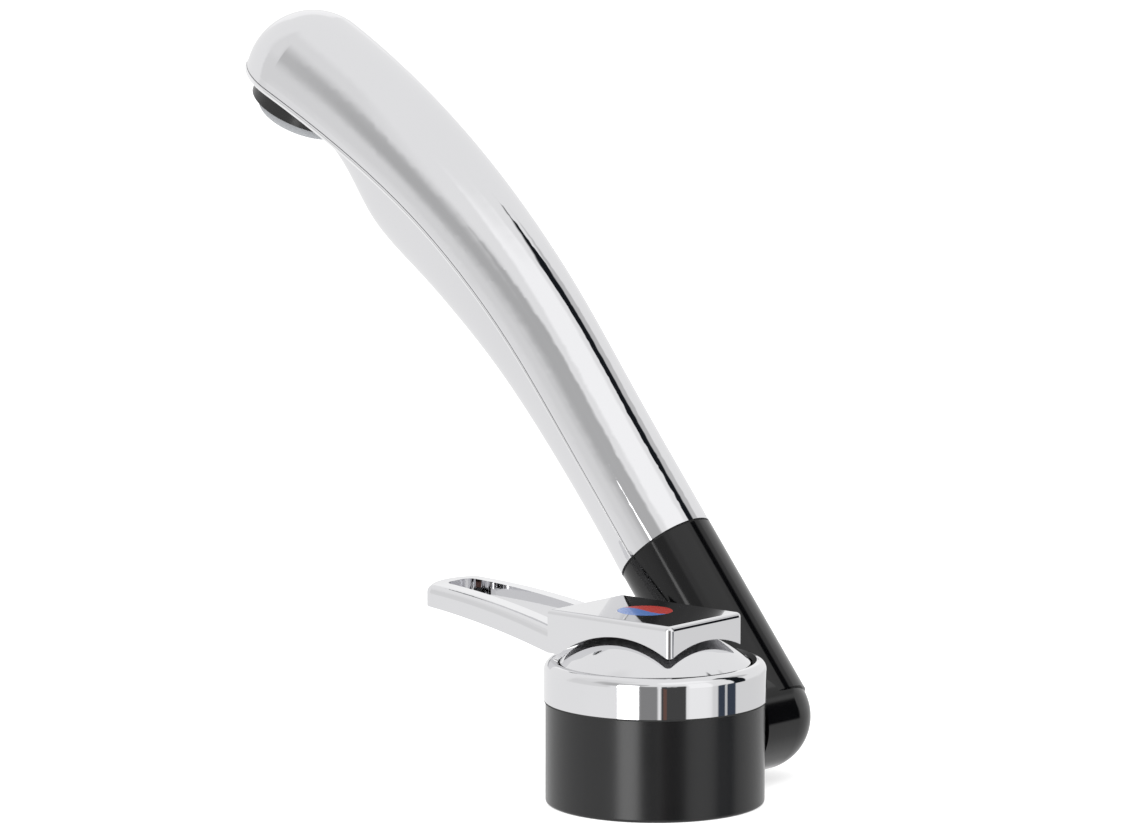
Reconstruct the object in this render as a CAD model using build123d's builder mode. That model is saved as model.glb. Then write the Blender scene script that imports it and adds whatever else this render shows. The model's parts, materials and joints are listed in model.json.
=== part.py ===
from build123d import *
from math import asin, atan2, cos, degrees, radians, sin, sqrt
import os

os.makedirs("parts", exist_ok=True)

# Single-lever mixer tap with a spout that folds down beside its base.
# Millimetres. The origin is the centre of the base on the worktop, +Z is up.
# The lever and the raised spout reach towards -Y, and the arm stands on the -X side.

# Base
base_radius = 28.0
base_height = 26.6
base_wall = 3.4
base_flange = 4.0
base_edge = 0.8
seal_width = 1.6
seal_height = 1.2
fit = 0.06            # running or slip fit on the radius
seat = 0.1            # gap left where two pieces are clamped or dropped together
play = 0.4            # open gap between pieces that pass each other

# Trim ring on the base
ring_overhang = 0.4
ring_height = 10.3
ring_round = 2.5
ring_width = 3.7
ring_lip_drop = 0.7
ring_pocket_height = 2.6
ring_pocket_width = 1.1
ring_key_width = 0.9
ring_key_depth = 0.7

# Spherical cap, which turns with the lever
dome_radius = 34.7
dome_rise = 9.2
dome_wall = 1.6
dome_flange_width = 1.2
dome_flange_height = 1.8
dome_lift = 0.3

# Valve body and cartridge
cavity_depth = 17.1
neck_inset = 10.0
neck_height = 8.4
cartridge_radius = 14.0
cartridge_height = 21.5
housing_wall = 0.6
plate_thickness = 1.9
disc_thickness = 1.8
disc_gap = 0.05
carrier_thickness = 3.0
nut_wall = 2.5
nut_cap = 1.5
nut_opening = 12.0
nut_slots = 4
nut_slot_width = 3.0
inlet_radius = 4.5
inlet_web = 2.0
inlet_x = 5.0
inlet_y = 7.6
port_radius = 2.4
outlet_radius = 3.0
outlet_x = -7.0
stud_radius = 2.5
stud_x = 12.0
stud_web = 2.5
gallery_drop = 12.4
gallery_height = 2.6
gallery_width = 6.0

# Lever stem and its pivot
pivot_rise = 14.0
pin_radius = 1.5
stem_radius = 3.0
stem_tail_radius = 1.8
ball_radius = 1.9
ball_rise = 2.1
rotor_radius = 10.5
rotor_flange = 13.2
rotor_flange_height = 1.5
rotor_rise = 10.5
tilt_limit = 12.0

# Lever
lever_half_width = 14.6
lever_back = 16.9
lever_front = -23.6
lever_lift = 0.8
lever_height = 11.3
lever_round = 1.2
lever_corner = 1.6
bowl_gap = 2.7
bowl_drop = 1.4
bowl_centre_y = 0.6
step_drop = 4.9
tip_reach = 72.3
tip_bow = 3.4
tip_half_width = 10.0
tip_rise = 0.7
tip_thickness = 5.5
tip_round = 3.0
handle_round = 2.2
arch_drop = 0.9
arch_thickness = 6.2
handle_arch_y = -48.0
root_bar = 2.8
tip_bar = 5.2
slot_root_half = 8.0
slot_tip_half = 4.7
slot_corner = 2.4
boss_radius = 4.6
boss_length = 11.5
stem_cover = 3.0
screw_radius = 2.0
screw_head_radius = 3.2
screw_head_height = 1.6
screw_length = 9.0
marker_radius = 7.05
marker_depth = 0.5
marker_y = -3.4
marker_swirl = 0.9

# Sideways hinge of the arm
hinge_drop = 10.6
arm_out = 13.1
hinge_face_out = 0.9
washer_thickness = 0.5
boss_face_radius = 13.0
spigot_radius = 8.5
spigot_bore = 5.5
spigot_depth = 6.0
spigot_seat = 7.6
passage_gap = 1.5
bush_wall = 1.2
ring_groove_depth = 0.9
ring_groove_width = 0.9
ring_groove_places = (0.9, 2.3)
lock_groove_place = 4.0
lock_groove_width = 1.9
lock_groove_depth = 1.4
lock_screw_radius = 0.8

# Arm and spout. Distances along the spout start beside the hinge.
rise = 51.4
arm_radius = 13.35
elbow_radius = 14.0
arm_offset = 1.44
parting_drop = 1.2
joint_at = 50.5
joint_angle = 4.0
gasket_thickness = 0.6
gasket_recess = 0.45
straight_run = 107.8
bend_radius = 248.8
bend_angle = 26.05
shell_wall = 1.8
shell_start = 42.0
head_half_width = 18.1
head_height = 19.5
lip_start = 150.0
lip_drop = 1.6
flare_start = 93.1
crown_start = 75.5
crown_power = 1.55
belly_start = 72.5
belly_peak = 170.0
belly_depth = 17.75
nose_gap = 0.4
nose_depth = 9.6
nose_half_width = 12.0
lower_inset = 0.35
parting_gap = 0.1
plug_radius = 11.0
plug_start = 42.5
plug_end = 64.0
arm_bore = 6.0
elbow_cavity = 7.0
tube_radius = 4.5
tube_bore = 3.3
tube_lift = 6.2
tube_start = 44.0

# Outlet in the head
aerator_back = 1.3
aerator_radius = 15.3
aerator_drop = 7.15
aerator_ring_drop = 10.95
aerator_ring_radius = 13.1
aerator_ring_round = 2.6
aerator_thread = 12.0
aerator_bore = 10.6
aerator_shoulder = 0.5
thread_length = 3.7
insert_radius = 8.5
insert_recess = 1.2
jet_radius = 0.75
jet_pitch = 2.6
holder_lift = 1.2
holder_flange = 2.2
holder_radius = 13.6
holder_height = 8.5
holder_top_radius = 8.0
holder_top = 13.5
chamber_radius = 9.0
chamber_top = 11.6
seal_thickness = 1.2
socket_radius = 5.8
socket_length = 7.0
tongue_half_width = 4.0
tongue_depth = 4.5

# Places that follow from the sizes above
base_bore = base_radius - base_wall
ring_radius = base_radius + ring_overhang
ring_lip_radius = ring_radius - ring_width
ring_top = base_height + ring_height
dome_centre = ring_top + dome_rise - dome_radius
cavity_floor = base_height - cavity_depth
neck_radius = base_radius - neck_inset
inlet_depth = cavity_floor - inlet_web
stud_depth = cavity_floor - stud_web
skirt_radius = ring_lip_radius - play
shoulder = base_height - base_flange - seat
valve_radius = base_bore - 2 * seat
neck_top = shoulder + neck_height
housing_top = cavity_floor + cartridge_height
housing_bore = cartridge_radius - housing_wall
plate_top = cavity_floor + plate_thickness
fixed_disc_bottom = plate_top + disc_gap
moving_disc_bottom = fixed_disc_bottom + disc_thickness + disc_gap
carrier_bottom = moving_disc_bottom + disc_thickness
rotor_bottom = carrier_bottom + carrier_thickness + disc_gap
pivot_height = cavity_floor + pivot_rise
ball_drop = pivot_height - carrier_bottom - ball_rise
rotor_top = pivot_height + rotor_rise
lever_bottom = ring_top + lever_lift
lever_top = lever_bottom + lever_height
bowl_radius = dome_radius + bowl_gap
bowl_centre_z = dome_centre - bowl_drop
tip_top = lever_top + tip_rise
tip_bottom = tip_top - tip_thickness
handle_arch_top = lever_top - arch_drop
handle_arch_bottom = handle_arch_top - arch_thickness
slot_root = lever_front - root_bar
slot_tip = tip_bar - tip_reach
boss_bottom = lever_top - boss_length
stem_top = lever_top - stem_cover
hinge_height = base_height - hinge_drop
hinge_face = base_radius + hinge_face_out
arm_x = -base_radius - arm_out
gallery_floor = hinge_height - gallery_drop
spigot_inner_end = spigot_depth - base_bore
spigot_outer_end = -hinge_face - spigot_seat
socket_end = spigot_inner_end + passage_gap
lock_groove_x = spigot_inner_end - lock_groove_place
boss_face = hinge_face - washer_thickness - 2 * disc_gap
bush_radius = spigot_radius + fit + bush_wall
bearing_radius = spigot_radius + fit
head_at = straight_run + bend_radius * radians(bend_angle)
aerator_at = head_at - aerator_back
nose_at = aerator_at - aerator_radius - nose_gap
tube_end = nose_at
socket_start = nose_at - socket_length


def smooth(value):
    """Ease from 0 to 1 with level ends."""
    t = min(max(value, 0.0), 1.0)
    return t * t * (3 - 2 * t)


def half_width(s):
    """Half the width of the spout at a distance along it."""
    flare = smooth((s - flare_start) / (head_at - flare_start))
    return arm_radius + (head_half_width - arm_radius) * flare


def crown(s):
    """Height of the upper shell over the parting line."""
    start = arm_radius + parting_drop
    t = max(s - crown_start, 0.0) / (head_at - crown_start)
    return start + (head_height - start) * t**crown_power


def belly(s):
    """Depth of the lower shell under the parting line."""
    start = arm_radius - parting_drop
    swell = smooth((s - belly_start) / (belly_peak - belly_start))
    close = smooth((s - belly_peak) / (nose_at - belly_peak))
    return start + (belly_depth - start) * swell - (belly_depth - nose_depth) * close


def lower_half_width(s):
    """Half the width of the lower shell, a little inside the upper one and drawn in at its nose."""
    inset = lower_inset * smooth((s - joint_at) / (belly_start - joint_at))
    side = half_width(s) - inset
    close = smooth((s - belly_peak) / (nose_at - belly_peak))
    return side + (nose_half_width - side) * close


def station(s, lift=0.0):
    """Plane across the spout, its Y away from the belly, at a distance along the parting line."""
    turn = max(s - straight_run, 0.0) / bend_radius
    angle = radians(rise) - turn
    foot_y = (arm_offset - parting_drop) * sin(radians(rise))
    foot_z = hinge_height + (arm_offset - parting_drop) * cos(radians(rise))
    run = min(s, straight_run)
    y = foot_y - run * cos(radians(rise))
    z = foot_z + run * sin(radians(rise))
    y += bend_radius * (sin(angle) - sin(radians(rise)))
    z += bend_radius * (cos(angle) - cos(radians(rise)))
    up = Vector(0, sin(angle), cos(angle))
    along = Vector(0, -cos(angle), sin(angle))
    return Plane(origin=Vector(arm_x, y, z) + up * lift, x_dir=(1, 0, 0), z_dir=along)


def lip(s):
    """How far the edge of the upper shell hangs under the parting line."""
    return lip_drop * smooth((s - lip_start) / (head_at - lip_start))


def spaced(first, last, count):
    """Evenly spaced distances from the first to the last."""
    step = (last - first) / (count - 1)
    return [first + step * i for i in range(count)]


def hood_outline(width, height, floor):
    """Upper shell section: upright sides below a half ellipse."""
    arc = EllipticalCenterArc((0, parting_drop), width, height - parting_drop, 0, arc_size=180)
    Line(arc @ 1, (-width, floor))
    Line((-width, floor), (width, floor))
    Line((width, floor), arc @ 0)


def keel_outline(width, depth, top):
    """Lower shell section: the part of an ellipse that lies under the parting line."""
    reach = depth + parting_drop
    start = asin((parting_drop - top) / reach)
    radius = width / cos(start)
    angle = degrees(start)
    arc = EllipticalCenterArc((0, parting_drop), radius, reach, 180 + angle, arc_size=180 - 2 * angle)
    Line(arc @ 1, arc @ 0)


straight_stations = spaced(shell_start, straight_run, 5)
upper_stations = straight_stations + spaced(straight_run, head_at, 9)[1:]
lower_stations = straight_stations + spaced(straight_run, belly_peak, 5)[1:]
lower_stations += spaced(belly_peak, nose_at - 3 * shell_wall, 5)[1:]

# The joint of arm and spout is cut slightly aslant
joint_plane = station(joint_at, parting_drop).rotated((joint_angle, 0, 0))
arm_end = joint_plane.offset(-gasket_thickness / 2)
shell_end = joint_plane.offset(gasket_thickness / 2)

# Outlet axis: local Z points up into the head, local Y back along the spout
outlet_station = station(aerator_at)
outlet = Plane(origin=outlet_station.origin, x_dir=(1, 0, 0), z_dir=outlet_station.y_dir)
head_station = station(head_at)
head = Plane(origin=head_station.origin, x_dir=(1, 0, 0), z_dir=head_station.y_dir)


# Base body: a round sleeve with a top flange and a face for the arm's hinge
with BuildPart() as base_body:
    with BuildSketch(Plane.XY):
        Circle(base_radius)
    extrude(amount=base_height)
    fillet(base_body.edges().group_by(Axis.Z)[0], base_edge)
    with BuildSketch(Plane(origin=(-boss_face, 0, hinge_height), z_dir=(1, 0, 0))):
        Circle(boss_face_radius)
    extrude(amount=boss_face - base_bore / 2)
    with BuildSketch(Plane.XY.offset(base_height)):
        Circle(2 * base_radius)
    extrude(amount=base_height, mode=Mode.SUBTRACT)
    with BuildSketch(Plane.XY):
        Circle(base_bore)
    extrude(amount=base_height - base_flange, mode=Mode.SUBTRACT)
    with BuildSketch(Plane.XY):
        Circle(neck_radius + play)
    extrude(amount=base_height, mode=Mode.SUBTRACT)
    # Hole for the hinge bush
    with BuildSketch(Plane(origin=(-boss_face, 0, hinge_height), z_dir=(1, 0, 0))):
        Circle(bush_radius)
    extrude(amount=boss_face - base_bore / 2, mode=Mode.SUBTRACT)
    # Groove for the seal in the foot, and groove for the trim ring's key
    with BuildSketch(Plane.XY):
        Circle((base_bore + base_radius + seal_width) / 2)
        Circle((base_bore + base_radius - seal_width) / 2, mode=Mode.SUBTRACT)
    extrude(amount=seal_height, mode=Mode.SUBTRACT)
    with BuildSketch(Plane.XY.offset(base_height)):
        Circle(ring_lip_radius + ring_pocket_width + ring_key_width + fit)
        Circle(ring_lip_radius + ring_pocket_width - fit, mode=Mode.SUBTRACT)
    extrude(amount=-ring_key_depth, mode=Mode.SUBTRACT)
base_body.part.label = "base_body"
export_step(base_body.part, "parts/base_body.step")


with BuildPart() as base_seal:
    with BuildSketch(Plane.XY):
        Circle((base_bore + base_radius + seal_width) / 2)
        Circle((base_bore + base_radius - seal_width) / 2, mode=Mode.SUBTRACT)
    extrude(amount=seal_height)
base_seal.part.label = "base_seal"
export_step(base_seal.part, "parts/base_seal.step")


# Trim ring: rounded top edge, an inward lip that keeps the cap down and a key in the base
with BuildPart() as trim_ring:
    with BuildSketch(Plane.XZ) as ring_profile:
        with BuildLine():
            Polyline(
                (ring_lip_radius + ring_pocket_width, base_height - ring_key_depth + seat),
                (ring_lip_radius + ring_pocket_width + ring_key_width, base_height - ring_key_depth + seat),
                (ring_lip_radius + ring_pocket_width + ring_key_width, base_height),
                (ring_radius, base_height),
                (ring_radius, ring_top),
                (ring_radius - ring_round, ring_top),
                (ring_lip_radius, ring_top - ring_lip_drop),
                (ring_lip_radius, base_height + ring_pocket_height),
                (ring_lip_radius + ring_pocket_width, base_height + ring_pocket_height),
                close=True,
            )
        make_face()
        top_corner = ring_profile.vertices().group_by(Axis.Y)[-1].sort_by(Axis.X)[-1]
        fillet(top_corner, ring_round * 0.98)
        lip_corner = ring_profile.vertices().sort_by_distance((ring_lip_radius, ring_top - ring_lip_drop))[0]
        fillet(lip_corner, ring_lip_drop / 2)
    revolve(axis=Axis.Z)
trim_ring.part.label = "trim_ring"
export_step(trim_ring.part, "parts/trim_ring.step")


# Dome cap: thin spherical shell with a skirt, a foot flange and a slot for the lever's boss
with BuildPart() as dome_cap:
    with BuildSketch(Plane.XY.offset(base_height + dome_lift)):
        Circle(skirt_radius)
    extrude(amount=dome_radius + dome_centre - base_height)
    with Locations((0, 0, dome_centre)):
        Sphere(dome_radius, mode=Mode.INTERSECT)
    with BuildSketch(Plane.XY.offset(base_height + dome_lift)):
        Circle(skirt_radius + dome_flange_width)
    extrude(amount=dome_flange_height)
    with BuildPart(mode=Mode.PRIVATE) as dome_hollow:
        with BuildSketch(Plane.XY):
            Circle(skirt_radius - dome_wall)
        extrude(amount=2 * dome_radius)
        with Locations((0, 0, dome_centre)):
            Sphere(dome_radius - dome_wall, mode=Mode.INTERSECT)
    add(dome_hollow.part, mode=Mode.SUBTRACT)
    slot_top_shift = (dome_centre + dome_radius - pivot_height) * sin(radians(tilt_limit)) / cos(radians(tilt_limit))
    slot_back = slot_top_shift + boss_radius / cos(radians(tilt_limit)) + play
    slot_half = boss_radius + play
    with BuildSketch(Plane.XY.offset(ring_top)):
        with Locations((0, (slot_back - slot_half) / 2)):
            SlotOverall(slot_back + slot_half, 2 * slot_half, rotation=90)
    extrude(amount=dome_radius, mode=Mode.SUBTRACT)
dome_cap.part.label = "dome_cap"
export_step(dome_cap.part, "parts/dome_cap.step")


# Valve body: brass casting that holds the cartridge and takes the hinge spigot
with BuildPart() as valve_body:
    with BuildSketch(Plane.XY):
        Circle(valve_radius)
    extrude(amount=shoulder)
    with BuildSketch(Plane.XY.offset(shoulder)):
        Circle(neck_radius)
    extrude(amount=neck_height)
    with BuildSketch(Plane.XY.offset(cavity_floor)):
        Circle(cartridge_radius + seat)
    extrude(amount=neck_top - cavity_floor, mode=Mode.SUBTRACT)
    # Socket of the hinge spigot
    with BuildSketch(Plane(origin=(-base_radius, 0, hinge_height), z_dir=(1, 0, 0))):
        Circle(bearing_radius)
    extrude(amount=base_radius + socket_end, mode=Mode.SUBTRACT)
    # Threaded water inlets and the stud hole in the underside
    with Locations((inlet_x, inlet_y), (inlet_x, -inlet_y)):
        Cylinder(inlet_radius, inlet_depth, align=(Align.CENTER, Align.CENTER, Align.MIN),
                 mode=Mode.SUBTRACT)
        Cylinder(port_radius, cavity_floor, align=(Align.CENTER, Align.CENTER, Align.MIN), mode=Mode.SUBTRACT)
    with Locations((stud_x, 0)):
        Cylinder(stud_radius, stud_depth, align=(Align.CENTER, Align.CENTER, Align.MIN), mode=Mode.SUBTRACT)
    # Cast passage from the cartridge outlet to the spigot socket
    with Locations((outlet_x, 0, gallery_floor)):
        Cylinder(outlet_radius, cavity_floor, align=(Align.CENTER, Align.CENTER, Align.MIN), mode=Mode.SUBTRACT)
    with Locations((outlet_x, 0, gallery_floor)):
        Box(outlet_x - spigot_inner_end, gallery_width, gallery_height,
            align=(Align.MAX, Align.CENTER, Align.MIN), mode=Mode.SUBTRACT)
    with Locations((spigot_inner_end, 0, gallery_floor)):
        Box(socket_end - spigot_inner_end, gallery_width, hinge_height - spigot_bore - gallery_floor,
            align=(Align.MIN, Align.CENTER, Align.MIN), mode=Mode.SUBTRACT)
    # Hole of the lock screw under the spigot
    with Locations((lock_groove_x, 0)):
        Cylinder(lock_screw_radius + fit, hinge_height - spigot_radius + lock_groove_depth,
                 align=(Align.CENTER, Align.CENTER, Align.MIN), mode=Mode.SUBTRACT)
valve_body.part.label = "valve_body"
export_step(valve_body.part, "parts/valve_body.step")


# Retaining nut: clamps the base body and the cartridge
with BuildPart() as retaining_nut:
    nut_top = housing_top + seat + nut_cap
    with BuildSketch(Plane.XY.offset(base_height + disc_gap)):
        Circle(neck_radius + fit + nut_wall)
    extrude(amount=nut_top - base_height - disc_gap)
    with BuildSketch(Plane.XY.offset(base_height)):
        Circle(neck_radius + fit)
    extrude(amount=housing_top + seat - base_height, mode=Mode.SUBTRACT)
    with BuildSketch(Plane.XY.offset(base_height)):
        Circle(nut_opening)
    extrude(amount=nut_top - base_height, mode=Mode.SUBTRACT)
    with BuildSketch(Plane.XY.offset(nut_top)):
        with PolarLocations(neck_radius + nut_wall, nut_slots):
            Rectangle(2 * nut_wall, nut_slot_width)
    extrude(amount=-nut_wall, mode=Mode.SUBTRACT)
retaining_nut.part.label = "retaining_nut"
export_step(retaining_nut.part, "parts/retaining_nut.step")


with BuildPart() as cartridge_housing:
    with BuildSketch(Plane.XY.offset(cavity_floor)):
        Circle(cartridge_radius)
    extrude(amount=cartridge_height)
    with BuildSketch(Plane.XY.offset(cavity_floor)):
        Circle(housing_bore)
    extrude(amount=rotor_bottom + rotor_flange_height + seat - cavity_floor, mode=Mode.SUBTRACT)
    with BuildSketch(Plane.XY.offset(cavity_floor)):
        Circle(rotor_radius + fit)
    extrude(amount=cartridge_height, mode=Mode.SUBTRACT)
cartridge_housing.part.label = "cartridge_housing"
export_step(cartridge_housing.part, "parts/cartridge_housing.step")

port_places = ((inlet_x, inlet_y), (inlet_x, -inlet_y), (outlet_x, 0))
seal_outer = outlet_radius + seal_height
seal_inner = outlet_radius

with BuildPart() as cartridge_base:
    with BuildSketch(Plane.XY.offset(cavity_floor)):
        Circle(housing_bore - disc_gap)
        with Locations(*port_places):
            Circle(port_radius, mode=Mode.SUBTRACT)
    extrude(amount=plate_thickness)
    with BuildSketch(Plane.XY.offset(cavity_floor)):
        with Locations(*port_places):
            Circle(seal_outer)
    extrude(amount=seal_height, mode=Mode.SUBTRACT)
cartridge_base.part.label = "cartridge_base"
export_step(cartridge_base.part, "parts/cartridge_base.step")


with BuildPart() as cartridge_seals:
    with BuildSketch(Plane.XY.offset(cavity_floor)):
        with Locations(*port_places):
            Circle(seal_outer)
            Circle(seal_inner, mode=Mode.SUBTRACT)
    extrude(amount=seal_height)
cartridge_seals.part.label = "cartridge_seals"
export_step(cartridge_seals.part, "parts/cartridge_seals.step")


with BuildPart() as fixed_ceramic_disc:
    with BuildSketch(Plane.XY.offset(fixed_disc_bottom)):
        Circle(housing_bore - disc_gap)
        with Locations(*port_places):
            Circle(port_radius, mode=Mode.SUBTRACT)
    extrude(amount=disc_thickness)
fixed_ceramic_disc.part.label = "fixed_ceramic_disc"
export_step(fixed_ceramic_disc.part, "parts/fixed_ceramic_disc.step")

disc_travel = ball_drop * sin(radians(tilt_limit))
moving_radius = housing_bore - disc_travel - seat

with BuildPart() as moving_ceramic_disc:
    with BuildSketch(Plane.XY.offset(moving_disc_bottom)):
        Circle(moving_radius)
    extrude(amount=disc_thickness)
    with BuildSketch(Plane.XY.offset(moving_disc_bottom)):
        with Locations((outlet_x / 2, 0)):
            SlotOverall(moving_radius, 3 * port_radius)
    extrude(amount=disc_thickness / 2, mode=Mode.SUBTRACT)
moving_ceramic_disc.part.label = "moving_ceramic_disc"
export_step(moving_ceramic_disc.part, "parts/moving_ceramic_disc.step")


with BuildPart() as disc_carrier:
    with BuildSketch(Plane.XY.offset(carrier_bottom)):
        Circle(moving_radius)
        Circle(ball_radius + 1.5 * fit, mode=Mode.SUBTRACT)
    extrude(amount=carrier_thickness)
disc_carrier.part.label = "disc_carrier"
export_step(disc_carrier.part, "parts/disc_carrier.step")


# Cartridge rotor: turns in the housing and carries the pivot pin of the stem
with BuildPart() as cartridge_rotor:
    with BuildSketch(Plane.XY.offset(rotor_bottom)):
        Circle(rotor_flange)
    extrude(amount=rotor_flange_height)
    with BuildSketch(Plane.XY.offset(rotor_bottom)):
        Circle(rotor_radius)
    extrude(amount=rotor_top - rotor_bottom)
    swing_top = rotor_rise * sin(radians(tilt_limit)) / cos(radians(tilt_limit))
    swing_back = swing_top + stem_radius / cos(radians(tilt_limit)) + play
    swing_foot = stem_radius * (1 + sin(radians(tilt_limit)))
    with Locations((0, -swing_foot - play, pivot_height - swing_foot)):
        Box(2 * (stem_radius + play), swing_foot + play + swing_back, rotor_top,
            align=(Align.CENTER, Align.MIN, Align.MIN), mode=Mode.SUBTRACT)
    tail_swing = (pivot_height - rotor_bottom) * sin(radians(tilt_limit)) + stem_tail_radius + 2 * play
    with Locations((0, 0, rotor_bottom)):
        Box(2 * (stem_tail_radius + play), 2 * tail_swing, pivot_height - rotor_bottom,
            align=(Align.CENTER, Align.CENTER, Align.MIN), mode=Mode.SUBTRACT)
    with BuildSketch(Plane.YZ):
        with Locations((0, pivot_height)):
            Circle(pin_radius)
    extrude(amount=rotor_radius, both=True, mode=Mode.SUBTRACT)
cartridge_rotor.part.label = "cartridge_rotor"
export_step(cartridge_rotor.part, "parts/cartridge_rotor.step")


with BuildPart() as pivot_pin:
    with BuildSketch(Plane.YZ):
        with Locations((0, pivot_height)):
            Circle(pin_radius)
    extrude(amount=rotor_radius - disc_gap, both=True)
pivot_pin.part.label = "pivot_pin"
export_step(pivot_pin.part, "parts/pivot_pin.step")


# Lever stem: hangs on the pivot pin, its ball end drives the disc carrier
with BuildPart() as lever_stem:
    with BuildSketch(Plane.XY.offset(pivot_height - stem_radius + play / 2)):
        Circle(stem_radius)
    extrude(amount=stem_top - pivot_height + stem_radius - play / 2)
    with BuildSketch(Plane.XY.offset(pivot_height - ball_drop)):
        Circle(stem_tail_radius)
    extrude(amount=ball_drop)
    with Locations((0, 0, pivot_height - ball_drop)):
        Sphere(ball_radius)
    with BuildSketch(Plane.YZ):
        with Locations((0, pivot_height)):
            Circle(pin_radius + fit)
    extrude(amount=rotor_radius, both=True, mode=Mode.SUBTRACT)
    with BuildSketch(Plane.XY.offset(stem_top)):
        Circle(screw_radius)
    extrude(amount=-screw_length, mode=Mode.SUBTRACT)
lever_stem.part.label = "lever_stem"
export_step(lever_stem.part, "parts/lever_stem.step")


# Lever: a block hollowed by a sphere so that it hovers over the cap, and a slotted loop handle
with BuildPart() as lever:
    lever_tip = -tip_reach - tip_round
    with BuildSketch(Plane.YZ):
        with BuildLine():
            top = ThreePointArc(
                (lever_front, lever_top - step_drop), (handle_arch_y, handle_arch_top), (lever_tip, tip_top)
            )
            Line(top @ 1, (lever_tip, tip_bottom))
            under = ThreePointArc(
                (lever_tip, tip_bottom), (handle_arch_y, handle_arch_bottom), (lever_front, lever_bottom)
            )
            Line(under @ 1, top @ 0)
        make_face()
    extrude(amount=2 * lever_half_width, both=True)
    with BuildSketch(Plane.XY) as handle_plan:
        with BuildLine():
            Polyline(
                (-tip_half_width, tip_bow - tip_reach),
                (-lever_half_width, lever_front),
                (lever_half_width, lever_front),
                (tip_half_width, tip_bow - tip_reach),
            )
            ThreePointArc(
                (tip_half_width, tip_bow - tip_reach), (0, -tip_reach), (-tip_half_width, tip_bow - tip_reach)
            )
        make_face()
        fillet(handle_plan.vertices().group_by(Axis.Y)[0], tip_round)
    extrude(amount=2 * lever_top, mode=Mode.INTERSECT)
    crest = lever.faces().sort_by(Axis.Z)[-1]
    rim_edges = crest.edges().filter_by(lambda edge: edge.center().Y < lever_front - seat)
    fillet(rim_edges, handle_round)
    with BuildPart(mode=Mode.PRIVATE) as lever_block:
        with BuildSketch(Plane.XY.offset(lever_bottom)):
            with Locations((0, (lever_back + lever_front) / 2)):
                Rectangle(2 * lever_half_width, lever_back - lever_front)
        extrude(amount=lever_top - lever_bottom)
        back_edges = lever_block.edges().filter_by(Axis.Z).group_by(Axis.Y)[-1]
        fillet(back_edges, lever_corner)
        fillet(lever_block.faces().sort_by(Axis.Z)[-1].edges(), lever_round)
    add(lever_block.part)
    with Locations((0, bowl_centre_y, bowl_centre_z)):
        Sphere(bowl_radius, mode=Mode.SUBTRACT)
    # Loop of the handle
    with BuildSketch(Plane.XY.offset(lever_bottom - handle_round)) as loop:
        with BuildLine():
            Polyline(
                (-slot_root_half, slot_root), (slot_root_half, slot_root),
                (slot_tip_half, slot_tip), (-slot_tip_half, slot_tip), close=True,
            )
        make_face()
        fillet(loop.vertices(), slot_corner)
    extrude(amount=lever_top, mode=Mode.SUBTRACT)
    # Boss that carries the stem down through the cap
    with BuildSketch(Plane.XY.offset(boss_bottom)):
        Circle(boss_radius)
    extrude(amount=lever_top - marker_depth - boss_bottom)
    with BuildSketch(Plane.XY.offset(boss_bottom)):
        Circle(stem_radius)
    extrude(amount=stem_top - boss_bottom, mode=Mode.SUBTRACT)
    with BuildSketch(Plane.XY.offset(stem_top)):
        Circle(screw_radius)
    extrude(amount=lever_top - stem_top, mode=Mode.SUBTRACT)
    with BuildSketch(Plane.XY.offset(lever_top - marker_depth)):
        Circle(screw_head_radius + disc_gap)
    extrude(amount=-screw_head_height, mode=Mode.SUBTRACT)
    # Shallow round seat of the markers
    with BuildSketch(Plane.XY.offset(lever_top - marker_depth)):
        with Locations((0, marker_y)):
            Circle(marker_radius + disc_gap)
    extrude(amount=lever_top, mode=Mode.SUBTRACT)
lever.part.label = "lever"
export_step(lever.part, "parts/lever.step")


with BuildPart() as lever_screw:
    head_top = lever_top - marker_depth - disc_gap
    with BuildSketch(Plane.XY.offset(head_top)):
        Circle(screw_head_radius)
    extrude(amount=disc_gap - screw_head_height)
    with BuildSketch(Plane.XY.offset(head_top)):
        Circle(screw_radius)
    extrude(amount=-screw_length)
    with BuildSketch(Plane.XY.offset(head_top)):
        RegularPolygon(screw_head_radius / 2, 6)
    extrude(amount=-screw_head_height * 0.6, mode=Mode.SUBTRACT)
lever_screw.part.label = "lever_screw"
export_step(lever_screw.part, "parts/lever_screw.step")


# Markers: two halves of a disc that meet along a gentle swirl
for side, marker_name in ((-1, "marker_hot"), (1, "marker_cold")):
    with BuildPart() as marker:
        with BuildSketch(Plane.XY.offset(lever_top - marker_depth)):
            with BuildLine():
                low = (0, marker_y - marker_radius)
                high = (0, marker_y + marker_radius)
                swirl = Spline(
                    low, (-marker_swirl, marker_y - marker_radius / 2), (0, marker_y),
                    (marker_swirl, marker_y + marker_radius / 2), high,
                )
                ThreePointArc(high, (side * marker_radius, marker_y), low)
            make_face()
        extrude(amount=marker_depth)
    marker.part.label = marker_name
    export_step(marker.part, f"parts/{marker_name}.step")


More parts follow.
